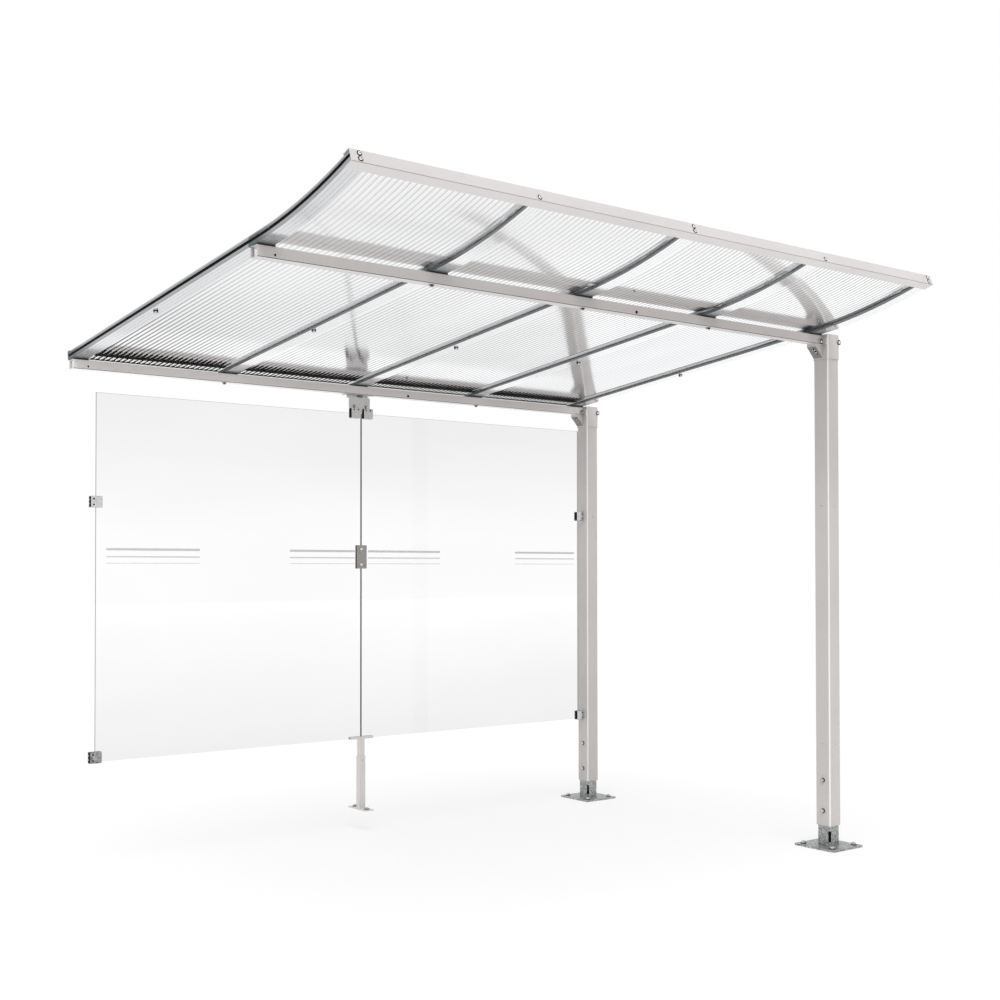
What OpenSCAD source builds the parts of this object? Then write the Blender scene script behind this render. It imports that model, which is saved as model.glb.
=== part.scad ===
// Bicycle shelter, add-on bay: two posts, two beams, a curved ribbed roof and a glass back wall.
// The origin is the middle of the underside of the rear base plate, X runs along the beams,
// Y runs from the open front to the back, Z is up.  The bay reaches out along -X.

/* [Bay] */
// length of the beams, from the post line to the free end
beam_reach = 3150; // [2400:10:4000]
// distance between the front post and the rear post, centre to centre
post_span = 1670; // [1200:10:2200]
// height of the top of the rear beam
rear_top = 2278; // [1900:1:2600]
// height of the top of the front beam
front_top = 2464; // [2050:1:2900]

/* [Posts and feet] */
// outside width of the square post tube
post_w = 80; // [60:1:120]
// wall of the post tube
post_wall = 4; // [2:0.5:6]
// outside radius of the post's corners
post_r = 3; // [2:0.5:8]
// height of the lower end of the post above the footing
post_lift = 104; // [60:1:200]
// height of the upper end of the stub inside the post
stub_top = 350; // [200:10:600]
// side of the square base plate
plate_w = 226; // [160:1:320]
// thickness of the base plate
plate_t = 10; // [6:1:20]
// distance between the anchor holes along one side of the plate
anchor_pitch = 165; // [110:1:180]
// diameter of an anchor hole
anchor_d = 14; // [10:1:22]
// heights of the two bolts that join the post to its stub
joint_z = [174, 321];
// diameter of the holes for those bolts
joint_d = 11; // [8:0.5:14]

/* [Head brackets] */
// height of the sleeve over the top of a post
head_h = 115; // [90:1:200]
// thickness of the sleeve and of its ears
head_t = 3; // [2:0.5:5]
// length of the brace under the beam, from the sleeve
brace_l = 50; // [40:1:120]
// radius of the round end of an ear
ear_r = 17; // [12:1:20]
// depth of the middle of an ear below the top of the beam
ear_drop = 31; // [20:1:32]

/* [Beams] */
// depth of a beam, front face to back face
beam_d = 50; // [40:1:70]
// height of a beam
beam_h = 42; // [30:1:80]
// wall of a beam
beam_wall = 3; // [2:0.5:5]
// distance of the bolt hole in the free end of a beam from the post line
end_hole_x = 3080; // [2300:1:3900]
// distance of the second hole along a beam from the post line
mid_hole_x = 1304; // [800:1:1500]
// diameter of those holes
beam_hole_d = 9; // [6:0.5:12]

/* [Roof] */
// distance of the outer side of the first rail from the post line
roof_far = 3152; // [2400:1:4000]
// distance of the outer side of the last rail from the post line
roof_near = 44; // [44:1:120]
// how far the rails reach behind the rear post's centre line
rear_over = 50; // [46:1:200]
// width of a glazing rail
rail_w = 74; // [60:1:110]
// height of the lower bar of a rail
bar_h = 13.5; // [10:0.5:30]
// thickness of a roof panel
panel_t = 10; // [6:1:16]
// thickness of a rubber lip over or under a panel edge
lip_t = 1.25; // [1:0.25:3]
// height of the cap strip of a rail
cap_h = 15; // [8:1:20]
// radius of the upturned front of the roof, along the underside of the rails
bend_r = 2450; // [1500:10:5000]
// distance from the front post's centre line, outwards, to where the roof starts to bend
bend_from = 20; // [0:1:400]
// angle the roof turns through from there to the front
bend_turn = 14; // [5:0.1:25]
// thickness of the channels along the front and back of the roof
edge_t = 2.5; // [1.5:0.5:4]
// depth of the front channel's lower flange
eave_low = 44; // [20:1:60]
// depth of the front channel's upper flange
eave_up = 37; // [20:1:60]

/* [Glass wall] */
// thickness of a glass pane
glass_t = 10; // [6:1:12]
// height of the lower edge of the glass
glass_low = 466; // [380:1:800]
// height of the upper edge of the glass
glass_top = 2137; // [1700:1:2160]
// distance of the far edge of the glass from the post line
glass_far = 3038; // [2200:1:3800]
// distance of the near edge of the glass from the post line
glass_near = 79.5; // [60:0.5:100]
// gap between the two panes
glass_gap = 4; // [2:1:8]
// distance of the joint between the panes from the post line
glass_joint = 1596; // [1100:1:2200]
// width of a glass clamp
clamp_w = 55; // [50:1:90]
// height of a glass clamp
clamp_h = 52; // [40:1:70]
// thickness of one half of a glass clamp
clamp_t = 7; // [6:0.5:10]
// heights of the middles of the upper and lower clamps
clamp_z = [1641, 487];
// height of the middle of the clip that joins the panes
clip_z = 1398; // [900:1:1600]
// height of that clip
clip_h = 120; // [60:1:200]
// width of that clip
clip_w = 60; // [40:1:100]
// thickness of one half of that clip
clip_t = 3; // [2:0.5:6]
// width of the hanger's flange under the rear beam
hanger_w = 164; // [132:1:240]
// width of the hanger's plate over the two clamps
hanger_plate_w = 128; // [125:1:140]
// distance of the hanger's flange from the joint between the panes
hanger_shift = 11; // [0:1:20]
// thickness of the hanger's sheet
hanger_t = 4; // [2:0.5:8]

/* [Middle leg] */
// height of the underside of the middle leg's foot, where the finished ground comes to
leg_lift = 104; // [0:1:120]
// size of the leg's foot plate, along the bay and across it
leg_plate_size = [54, 160];
// thickness of that plate
leg_plate_t = 6; // [4:1:12]
// distance between the two bolt holes in that plate
leg_bolt_pitch = 110; // [60:1:130]
// diameter of those holes
leg_bolt_d = 12; // [8:1:16]
// outside size of the sleeve on that plate, along the bay and across it
leg_sleeve_size = [40, 26];
// wall of the sleeve
leg_sleeve_wall = 2.5; // [1.5:0.5:4]
// height of the sleeve's upper end
leg_sleeve_top = 375; // [280:1:440]
// length of the channel that carries the panes
leg_head_l = 142; // [100:1:300]

/* [Hidden] */
$fn = 48;
fit = 0.3;
slope = (front_top - rear_top) / post_span;
tilt = atan(slope);
// distance from the rear post's centre line to where the roof starts to bend
bend_y = post_span + bend_from;
slot_h = panel_t + 2*lip_t;
rail_h = bar_h + slot_h + cap_h;
spine_w = 10;
grip = 22;
groove = 0.8;
beam_back = post_w/2;
beam_front = beam_back - beam_d;
wedge_t = 0.35;
fold_r = edge_t + 0.5;
// height of the underside of the rails over the rear post's centre line
rail_z0 = rear_top + wedge_t + slope*beam_back;
rail_step = (roof_far - roof_near - rail_w) / 4;
rail_cx = [for (i = [0:4]) -roof_far + rail_w/2 + i*rail_step];
head_w = post_w + 2*head_t;
stub_w = post_w - 2*post_wall - 1;
stub_wall = 5;

paint = [0.74, 0.72, 0.71];
zinc = [0.62, 0.63, 0.63];
alu = [0.6, 0.62, 0.63];
black = [0.1, 0.1, 0.1];
clear = [0.85, 0.9, 0.92, 0.4];

// ---------- helpers ----------
// a box between two opposite corners
module box(a, b) { translate(a) cube([b[0]-a[0], b[1]-a[1], b[2]-a[2]]); }

// a flat rectangle, w wide and d deep round the origin, with round corners
module round_rect(w, d, r) {
  square([w - 2*r, d], center = true);
  square([w, d - 2*r], center = true);
  for (x = [-1, 1], y = [-1, 1]) translate([x*(w/2 - r), y*(d/2 - r)]) circle(r = r);
}

// a square tube standing up from z0 to z1
module tube(w, wall, r, z0, z1) {
  translate([0, 0, z0]) linear_extrude(height = z1 - z0) difference() {
    round_rect(w, w, r);
    round_rect(w - 2*wall, w - 2*wall, max(r - wall, 1));
  }
}

// the holes for the bolts that join post and stub
module joint_holes() {
  for (z = joint_z) translate([0, 0, z]) rotate([0, 90, 0])
    cylinder(d = joint_d, h = post_w + 2, center = true);
}

// the roof's own frame: its origin is on the underside of the rails where the bend starts, y runs
// back along the straight part and z stands square off it
module on_roof() {
  translate([0, -bend_y, rail_z0 + slope*bend_y]) rotate([-tilt, 0, 0]) children();
}

// length of the straight part of the rails
run_len = (bend_y + rear_over) / cos(tilt);

// a flat section (x along the bay, y = height over the underside of the rails) swept along the
// straight part of the roof and then round its upturned front
module roof_run() {
  on_roof() union() {
    translate([0, run_len, 0]) rotate([90, 0, 0]) linear_extrude(height = run_len) children();
    translate([0, 0, bend_r]) rotate([0, 90, 0]) rotate([180, 0, 0])
      rotate_extrude(angle = bend_turn, $fn = 720)
        translate([bend_r, 0]) rotate(90) mirror([1, 0]) children();
  }
}

// the frame at the front end of the rails: y runs inwards along the rails, z off their underside
module roof_front() {
  on_roof() translate([0, 0, bend_r]) rotate([-bend_turn, 0, 0]) translate([0, 0, -bend_r]) children();
}

// ---------- feet and posts ----------
module base_plate() {
  difference() {
    linear_extrude(height = plate_t) round_rect(plate_w, plate_w, 5);
    for (x = [-1, 1], y = [-1, 1]) translate([x*anchor_pitch/2, y*anchor_pitch/2, -1])
      cylinder(d = anchor_d, h = plate_t + 2);
  }
}

// square stub welded on the plate, with a drain slot cut through its outer corner
module stub() {
  slot_len = 52;
  difference() {
    tube(stub_w, stub_wall, 6, plate_t, stub_top);
    joint_holes();
    translate([-stub_w/2, -stub_w/2, plate_t + 17 + slot_len/2]) rotate([0, 0, 45])
      cube([26, 14, slot_len], center = true);
  }
}

module post(top) {
  difference() {
    tube(post_w, post_wall, post_r, post_lift, top);
    joint_holes();
  }
}

// ---------- head brackets ----------
// outline of the brace seen from the front: x = 0 on the sleeve, y = 0 under the beam
function brace(inset) = [[-inset/2, -inset], [-brace_l + inset, -inset], [-brace_l + inset, -14 + inset/2],
  [-inset/2, -head_h + beam_h + 9 + inset*1.6]];

// long hole through the sloping face of the brace
module brace_slot() {
  slot_d = 17;
  slot_run = 11;
  depth = 40;
  face_turn = atan2(head_h - beam_h - 23, brace_l);
  translate([-brace_l*0.54, -beam_d/2 - 5, -36]) rotate([0, 90 - face_turn, 0]) {
    for (k = [-slot_run, slot_run]) translate([k, 0, 0]) cylinder(d = slot_d, h = depth, center = true);
    cube([2*slot_run, slot_d, depth], center = true);
  }
}

// hollow brace of folded sheet under the beam
module beam_brace() {
  translate([-head_w/2, beam_back, -beam_h]) difference() {
    rotate([90, 0, 0]) linear_extrude(height = beam_d) polygon(brace(0));
    translate([0, -head_t, 0]) rotate([90, 0, 0]) linear_extrude(height = beam_d - 2*head_t)
      polygon(brace(head_t));
    brace_slot();
  }
}

// ear on the beam's front face, tied to the sleeve by a plate with a turned-out lower edge
module beam_ear() {
  ear_t = 4;
  reach = 12;
  translate([-head_w/2, beam_front, -ear_drop]) rotate([90, 0, 0]) linear_extrude(height = ear_t)
  difference() {
    union() {
      translate([-reach, 0]) circle(r = ear_r);
      translate([-reach, -ear_r]) square([reach, 2*ear_r]);
    }
    translate([0, -2*ear_r]) square(4*ear_r);
  }
  front = -head_w/2 + ear_t;
  back = beam_front - ear_t;
  box([-head_w/2 - ear_t, front, -ear_drop - ear_r], [-head_w/2, back, -ear_drop + ear_r]);
  box([-head_w/2 - 2*ear_t, front, -ear_drop - ear_r], [-head_w/2 - ear_t, back, -ear_drop - ear_r + 6]);
}

// sleeve over the top of a post, the ear, a boss for the next bay's beam and the brace; z = 0 is the
// top of the beam
module head_bracket() {
  rise = 4;
  difference() {
    union() {
      tube(head_w, head_t - fit/2, 4, -head_h, rise - head_t);
      translate([0, 0, rise - head_t]) linear_extrude(height = head_t) round_rect(head_w, head_w, 4);
    }
    // fine seam where the sleeve's flap is folded round
    box([-head_w/2 + 9, -head_w/2 - 1, -beam_h - 4], [-head_w/2 + 10, -head_w/2 + 1, rise + 1]);
  }
  translate([post_w/2 - 2, -head_w/2, -ear_drop]) rotate([90, 0, 0]) cylinder(r = 12, h = 4);
  beam_ear();
  beam_brace();
}

// ---------- beams ----------
module beam(top) {
  mid = (beam_front + beam_back)/2;
  translate([0, mid, top - beam_h/2]) difference() {
    translate([-beam_reach, 0, 0]) rotate([90, 0, 90]) linear_extrude(height = beam_reach - head_w/2)
    difference() {
      round_rect(beam_d, beam_h, 2.5);
      round_rect(beam_d - 2*beam_wall, beam_h - 2*beam_wall, 1);
    }
    // bolt holes from front to back, for the next bay's bracket and for a fitting further along
    for (x = [end_hole_x, mid_hole_x]) translate([-x, 0, beam_h/2 - 29]) rotate([90, 0, 0])
      cylinder(d = beam_hole_d, h = beam_d + 2, center = true);
    // hole in the underside and window in the back, close to the free end
    translate([-beam_reach + 41, 0, -beam_h/2 - 1]) cylinder(d = beam_hole_d, h = beam_wall + 2);
    box([-beam_reach + 14, beam_d/2 - beam_wall - 1, -beam_h/2 + beam_wall],
        [-beam_reach + 55, beam_d/2 + 1, beam_h/2 - beam_wall]);
  }
}

// thin rubber wedges that fill the slope between a level beam and the rails
module wedges() {
  for (c = rail_cx) translate([max(c - rail_w/2, -beam_reach), beam_back, 0]) rotate([90, 0, 90])
    linear_extrude(height = min(rail_w, c + rail_w/2 + beam_reach, -head_w/2 - c + rail_w/2))
      polygon([[0, 0], [0, wedge_t - 0.05], [-beam_d, wedge_t - 0.05 + slope*beam_d], [-beam_d, 0]]);
}

// ---------- roof ----------
// lower bar of a rail with chamfered edges and three fine grooves, and the spine between the panels
module rail_bar(i) {
  translate([rail_cx[i], 0]) {
    difference() {
      polygon([[-rail_w/2 + 2.5, 0], [rail_w/2 - 2.5, 0], [rail_w/2, 6], [rail_w/2, bar_h],
        [-rail_w/2, bar_h], [-rail_w/2, 6]]);
      for (k = [-1:1]) translate([k*rail_w/4 - groove/2, -1]) square([groove, 1 + groove]);
    }
    translate([-spine_w/2, bar_h]) square([spine_w, slot_h]);
  }
}
module rail(i) { roof_run() rail_bar(i); }

// rubber lips over and under the panel edges; an end rail's outer side is closed by a rubber strip
module rail_gasket(i) {
  lip_w = 9;
  roof_run() translate([rail_cx[i], bar_h]) for (s = [-1, 1]) {
    open = (i == 0 && s < 0) || (i == 4 && s > 0);
    x = s < 0 ? -rail_w/2 + 1 : rail_w/2 - 1 - lip_w;
    if (open) translate([x - 3*s, 0]) square([lip_w, slot_h]);
    else for (y = [0, slot_h - lip_t]) translate([x, y]) square([lip_w, lip_t]);
  }
}

module rail_cap(i) {
  roof_run() translate([rail_cx[i], bar_h + slot_h])
    polygon([[-rail_w/2, 0], [rail_w/2, 0], [rail_w/2, 7.5], [rail_w/2 - 4, cap_h],
      [-rail_w/2 + 4, cap_h], [-rail_w/2, 7.5]]);
}

module roof_panel(i) {
  a = rail_cx[i] + rail_w/2 - grip;
  b = rail_cx[i + 1] - rail_w/2 + grip;
  roof_run() translate([a, bar_h + lip_t]) square([b - a, panel_t]);
}

// section of the front channel, with its two folds rounded: x = 0 is the rails' end, y = 0 their underside
module eave_section() {
  h = rail_h + 2*fit;
  deep = 2*max(eave_low, eave_up);
  face = -edge_t - fit;
  difference() {
    translate([face + deep/2, h/2]) round_rect(deep, h + 2*edge_t, fold_r);
    translate([-fit, 0]) square([deep, h]);
    translate([face + eave_low, -edge_t - 1]) square([deep, edge_t + 1 + h/2]);
    translate([face + eave_up, h/2]) square([deep, h/2 + edge_t + 1]);
  }
}

module eave_channel() {
  roof_front() translate([-roof_far, 0, 0]) rotate([90, 0, 90])
    linear_extrude(height = roof_far - roof_near) eave_section();
}

// strip that closes the back ends of the sheets; below it the air passes over the beam
module rear_channel() {
  lip = 16;
  on_roof() translate([0, run_len, 0]) {
    box([-roof_far, fit, bar_h], [-roof_near, fit + edge_t, rail_h + edge_t]);
    box([-roof_far, -lip, rail_h], [-roof_near, fit, rail_h + edge_t]);
  }
}

// ---------- glass wall ----------
module pane(a, b) { box([a, -glass_t/2, glass_low], [b, glass_t/2, glass_top]); }

// one half of a clamp, flat side on y = 0, with its edges bevelled; x = 0 is its middle
module half_clamp(h, t, w) {
  translate([-w/2, 0, 0]) rotate([90, 0, 90]) linear_extrude(height = w)
    polygon([[0, -h/2], [-t + 2, -h/2], [-t, -h/2 + 3], [-t, h/2 - 1.5], [-t + 1.5, h/2], [0, h/2]]);
}

// the two halves of a clamp, one on each side of the glass
module halves(h = clamp_h, t = clamp_t, w = clamp_w) {
  translate([0, -glass_t/2, 0]) half_clamp(h, t, w);
  mirror([0, 1, 0]) translate([0, -glass_t/2, 0]) half_clamp(h, t, w);
}

module left_clamps() {
  cover = 28;
  color(zinc) for (z = clamp_z) translate([-glass_far + cover - clamp_w/2, 0, z]) {
    halves();
    box([-clamp_w/2 + 2, -glass_t/2, -clamp_h/2 + 2], [clamp_w/2 - cover - 1, glass_t/2, clamp_h/2 - 2]);
  }
}

module right_clamps() {
  color(zinc) for (z = clamp_z) translate([-post_w/2 - clamp_w/2, 0, z]) {
    halves();
    box([-glass_near + post_w/2 + clamp_w/2 + 1, -glass_t/2, -clamp_h/2 + 2],
        [clamp_w/2, glass_t/2, clamp_h/2 - 2]);
  }
}

module centre_clip() {
  color(zinc) translate([-glass_joint, 0, clip_z]) halves(clip_h, clip_t, clip_w);
}

// folded hanger: a flange under the rear beam, a short web, a shelf and a plate down to two clamps
// on the upper edges of the panes
module centre_hanger() {
  sheet = hanger_t;
  flange_hw = hanger_w/2;
  plate_hw = hanger_plate_w/2;
  web_y = 18;
  under = rear_top - beam_h;
  shelf_top = under - 16;
  low = glass_top + 3;
  clamp_apart = 22;
  color(zinc) translate([-glass_joint, 0, 0]) {
    translate([-hanger_shift, 0, 0]) {
      box([-flange_hw, beam_front, under - sheet], [flange_hw, beam_back, under]);
      box([-plate_hw, web_y, shelf_top - sheet], [plate_hw, web_y + sheet, under - sheet]);
      box([-plate_hw, -sheet/2, shelf_top - sheet], [plate_hw, web_y, shelf_top]);
      box([-plate_hw, -sheet/2, low + 24], [plate_hw, sheet/2, shelf_top - sheet]);
    }
    box([-plate_hw + 10, -sheet/2, low], [plate_hw - 10, sheet/2, low + 24]);
    for (s = [-1, 1]) translate([s*(clamp_w/2 + clamp_apart/2), 0, glass_top + 1]) {
      halves();
      box([-clamp_w/2 + 1, -glass_t/2, 2], [clamp_w/2 - 1, glass_t/2, clamp_h/2 - 2]);
    }
  }
}

// ---------- middle leg ----------
module leg_plate() {
  color(paint) translate([-glass_joint, 0, leg_lift]) difference() {
    translate([-leg_plate_size[0]/2, -leg_plate_size[1]/2, 0])
      cube([leg_plate_size[0], leg_plate_size[1], leg_plate_t]);
    for (s = [-1, 1]) translate([0, s*leg_bolt_pitch/2, -1]) cylinder(d = leg_bolt_d, h = leg_plate_t + 2);
  }
}
module leg_sleeve() {
  low = leg_lift + leg_plate_t;
  color(paint) translate([-glass_joint, 0, low]) linear_extrude(height = leg_sleeve_top - low) difference() {
    round_rect(leg_sleeve_size[0], leg_sleeve_size[1], 2);
    round_rect(leg_sleeve_size[0] - 2*leg_sleeve_wall, leg_sleeve_size[1] - 2*leg_sleeve_wall, 1);
  }
}
// tube that slides in the sleeve
module leg_tube() {
  low = leg_lift + leg_plate_t + 114;
  w = leg_sleeve_size[0] - 2*leg_sleeve_wall - 2*fit;
  d = leg_sleeve_size[1] - 2*leg_sleeve_wall - 2*fit;
  wall = 2;
  color(paint) translate([-glass_joint, 0, low]) linear_extrude(height = glass_low - 3 - low) difference() {
    round_rect(w, d, 1.5);
    round_rect(w - 2*wall, d - 2*wall, 0.5);
  }
}
// shallow channel that carries the lower edges of both panes
module leg_head() {
  inner = glass_t/2 + fit;
  sheet = 3;
  lip = 10;
  color(paint) translate([-glass_joint, 0, glass_low]) difference() {
    box([-leg_head_l/2, -inner - sheet, -sheet], [leg_head_l/2, inner + sheet, lip]);
    box([-leg_head_l/2 - 1, -inner, 0], [leg_head_l/2 + 1, inner, lip + 1]);
  }
}

// ---------- drawing ----------
module at_front() { translate([0, -post_span, 0]) children(); }
module bracket_at(top) { color(paint) translate([0, 0, top]) head_bracket(); }

color(zinc) base_plate();  // rear_base_plate
color(zinc) at_front() base_plate();  // front_base_plate
color(zinc) stub();  // rear_stub
color(zinc) at_front() stub();  // front_stub
color(paint) post(rear_top);  // rear_post
color(paint) at_front() post(front_top);  // front_post
bracket_at(rear_top);  // rear_head_bracket
at_front() bracket_at(front_top);  // front_head_bracket
color(paint) beam(rear_top);  // rear_beam
color(paint) at_front() beam(front_top);  // front_beam
color(black) translate([0, 0, rear_top]) wedges();  // rear_wedges
color(black) at_front() translate([0, 0, front_top]) wedges();  // front_wedges
color(paint) eave_channel();
color(paint) rear_channel();
color(alu) rail(0);  // rail_1
color(alu) rail(1);  // rail_2
color(alu) rail(2);  // rail_3
color(alu) rail(3);  // rail_4
color(alu) rail(4);  // rail_5
color(black) rail_gasket(0);  // rail_gasket_1
color(black) rail_gasket(1);  // rail_gasket_2
color(black) rail_gasket(2);  // rail_gasket_3
color(black) rail_gasket(3);  // rail_gasket_4
color(black) rail_gasket(4);  // rail_gasket_5
color(alu) rail_cap(0);  // rail_cap_1
color(alu) rail_cap(1);  // rail_cap_2
color(alu) rail_cap(2);  // rail_cap_3
color(alu) rail_cap(3);  // rail_cap_4
color(alu) rail_cap(4);  // rail_cap_5
color(clear) roof_panel(0);  // roof_panel_1
color(clear) roof_panel(1);  // roof_panel_2
color(clear) roof_panel(2);  // roof_panel_3
color(clear) roof_panel(3);  // roof_panel_4
color(clear) pane(-glass_far, -glass_joint - glass_gap/2);  // glass_left
color(clear) pane(-glass_joint + glass_gap/2, -glass_near);  // glass_right
left_clamps();
right_clamps();
centre_clip();
centre_hanger();
leg_plate();
leg_sleeve();
leg_tube();
leg_head();
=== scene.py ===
# %% [markdown]
# # Bicycle shelter, add-on bay
# The real object is a bay of a cycle shelter: two square posts, two beams, five glazing rails that
# turn up at the front, ribbed clear roof sheets and a glass back wall. The solids come from the CAD
# frame, so this lesson adds what a CAD model leaves out: finishes, fluted sheets and small fasteners.

# %% Load the frame
import bpy, math
from mathutils import Vector, Matrix


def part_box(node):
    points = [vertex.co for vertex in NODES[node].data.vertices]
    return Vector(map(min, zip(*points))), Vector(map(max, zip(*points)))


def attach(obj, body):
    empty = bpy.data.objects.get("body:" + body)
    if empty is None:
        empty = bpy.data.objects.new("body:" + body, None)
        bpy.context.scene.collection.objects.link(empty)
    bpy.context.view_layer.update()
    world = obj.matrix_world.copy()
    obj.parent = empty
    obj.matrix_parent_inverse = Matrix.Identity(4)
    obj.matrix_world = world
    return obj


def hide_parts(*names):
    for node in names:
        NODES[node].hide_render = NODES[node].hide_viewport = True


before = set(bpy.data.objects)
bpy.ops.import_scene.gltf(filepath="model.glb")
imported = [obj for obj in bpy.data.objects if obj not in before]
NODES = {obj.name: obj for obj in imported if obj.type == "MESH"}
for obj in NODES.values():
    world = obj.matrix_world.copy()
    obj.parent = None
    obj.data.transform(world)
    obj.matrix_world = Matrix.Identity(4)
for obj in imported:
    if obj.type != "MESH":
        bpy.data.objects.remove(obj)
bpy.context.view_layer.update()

MM = 0.001


def in_scene(name, data):
    """A new object, linked to the scene."""
    thing = bpy.data.objects.new(name, data)
    bpy.context.scene.collection.objects.link(thing)
    return thing


# %% [markdown]
# ## Camera
# A camera can be aimed by eye, with a Track To constraint, or by writing its axes down. Axes are
# written down here because the upright edges have to stay exactly upright: the camera is nearly
# level, and a little lens shift, not tilt, brings the roof into view.

# %% Camera
def look_from(place, turn, rise, lens, shift):
    """A camera at place, turned from +Y towards +X and raised by degrees, never rolled."""
    a, e = math.radians(turn), math.radians(rise)
    ahead = Vector((math.sin(a) * math.cos(e), math.cos(a) * math.cos(e), math.sin(e)))
    right = Vector((math.cos(a), -math.sin(a), 0))
    up = right.cross(ahead)
    cam = in_scene("camera", bpy.data.cameras.new("camera"))
    cam.matrix_world = Matrix((right, up, -ahead)).transposed().to_4x4()
    cam.location = place
    cam.data.sensor_width, cam.data.lens = 36, lens
    cam.data.shift_x, cam.data.shift_y = shift
    cam.data.clip_start, cam.data.clip_end = 0.1, 200
    return cam


bpy.context.scene.camera = look_from((-5.4123, -5.7093, 1.3445), 35.904, 0.928, 47.925, (0.08916, 0.04575))
print("camera", [round(v, 2) for v in bpy.context.scene.camera.location])

# %% [markdown]
# ## One helper for nodes, one for colours
# Every material and every Geometry Nodes tree is a list of nodes. One small function adds a node,
# sets its options and either types a value into a socket or links another node to it. Colours are
# written as the sRGB hex values a paint chart would give, and one function turns them to linear.

# %% Node and colour helpers
def add(tree, kind, values=None, **options):
    """A new node; values go to its sockets by name or number, and a socket as value is linked."""
    node = tree.nodes.new(kind)
    for name, value in options.items():
        setattr(node, name, value)
    for key, value in (values or {}).items():
        if isinstance(value, bpy.types.NodeSocket):
            tree.links.new(value, node.inputs[key])
        else:
            node.inputs[key].default_value = value
    return node


def socket(tree, kind, values=None, **options):
    """First output of a new node."""
    return add(tree, kind, values, **options).outputs[0]


def maths(tree, operation, a, b=0.0, clamp=False):
    """Result of a Math node; a and b are numbers or sockets."""
    return socket(tree, "ShaderNodeMath", {0: a, 1: b}, operation=operation, use_clamp=clamp)


def times(tree, a, b):
    return maths(tree, "MULTIPLY", a, b)


def minus(tree, a, b):
    return maths(tree, "SUBTRACT", a, b)


def split(tree, vector):
    """X, Y and Z sockets of a vector."""
    return add(tree, "ShaderNodeSeparateXYZ", {0: vector}).outputs


def axes(tree, space="Object"):
    """X, Y and Z sockets of a place, or of the way a face looks where space is Normal."""
    return split(tree, add(tree, "ShaderNodeTexCoord").outputs[space])


def srgb(hex_code):
    """Linear RGBA from an sRGB hex colour such as 'D0CCCA'."""
    parts = [int(hex_code[i:i + 2], 16) / 255 for i in (0, 2, 4)]
    linear = [c / 12.92 if c <= 0.04045 else ((c + 0.055) / 1.055) ** 2.4 for c in parts]
    return (*linear, 1.0)


def new_material(name):
    """An empty node material and its tree."""
    mat = bpy.data.materials.new(name)
    mat.use_nodes = True
    mat.node_tree.nodes.clear()
    return mat, mat.node_tree


def pattern(tree, size_mm, detail=2.0, stretch=(1, 1, 1)):
    """Noise on Object coordinates with features of about size_mm; gives its value socket."""
    place = add(tree, "ShaderNodeTexCoord").outputs["Object"]
    if stretch != (1, 1, 1):
        place = add(tree, "ShaderNodeMapping", {"Vector": place, "Scale": stretch}).outputs["Vector"]
    size = {"Vector": place, "Scale": 1000 / size_mm, "Detail": detail}
    return add(tree, "ShaderNodeTexNoise", size).outputs["Fac"]


def spread(tree, value, low, high, src=(0.3, 0.7)):
    """Value of a pattern moved to the range low..high."""
    return add(tree, "ShaderNodeMapRange", {"Value": value, "From Min": src[0], "From Max": src[1],
                                            "To Min": low, "To Max": high}).outputs["Result"]


def tinted(tree, value, colour, hex_code):
    """A colour, as a hex code or a socket, moved towards a hex colour by a value of 0 to 1."""
    first = srgb(colour) if isinstance(colour, str) else colour
    mix = {0: value, 6: first, 7: srgb(hex_code)}
    return add(tree, "ShaderNodeMix", mix, data_type="RGBA").outputs[2]


def relief(tree, size_mm, detail, distance_mm, strength):
    """Bump normal from a pattern."""
    height = pattern(tree, size_mm, detail)
    bump = {"Height": height, "Distance": distance_mm * MM, "Strength": strength}
    return add(tree, "ShaderNodeBump", bump).outputs["Normal"]


def surface(mat, sockets):
    """A Principled shader with these sockets becomes the material's surface."""
    close(mat.node_tree, socket(mat.node_tree, "ShaderNodeBsdfPrincipled", sockets))
    return mat


def close(tree, shader):
    """The shader becomes the surface of the material."""
    add(tree, "ShaderNodeOutputMaterial", {"Surface": shader})


# %% [markdown]
# ## Powder coated steel
# Posts, beams, brackets, channels and the leg are steel tube and sheet with a polyester powder
# coat in warm light grey. Powder melts into a film with a very fine orange peel, so highlights are
# soft and slightly broken. A noise bump of 1.5 mm gives the peel, and two slow noises vary tone and
# gloss the way a coat of uneven thickness does.

# %% Powder coated steel
SPAN = 1.670  # from post to post
# Painted light and shade on the coat, in this order: a highlight on rounded upright corners, shade on edges
# that face down, shade high up on faces that look towards -X, shade along beams under the roof, and a
# highlight on the posts' front corners.
CORNER_HIGHLIGHT, DOWNWARD_SHADE, HIGH_SIDE_SHADE, ROOF_SHADE, LIT = "F0EEEC", "4C4947", "9A9694", "8A8482", "FCFAF9"


def corner_highlight_mask(tree, flat_mm, bent_mm):
    """1 on the front left corner of both posts, from flat_mm to bent_mm off a post's middle, where a painted
    highlight goes.
    """
    x, y, _ = axes(tree)
    depth = maths(tree, "FLOORED_MODULO", y, SPAN)
    left = spread(tree, x, 1, 0, (-bent_mm * MM, -flat_mm * MM))
    front = spread(tree, depth, 1, 0, (SPAN - bent_mm * MM, SPAN - flat_mm * MM))
    front = times(tree, front, spread(tree, depth, 0, 1, (1.0, 1.1)))
    return times(tree, left, front)


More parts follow.
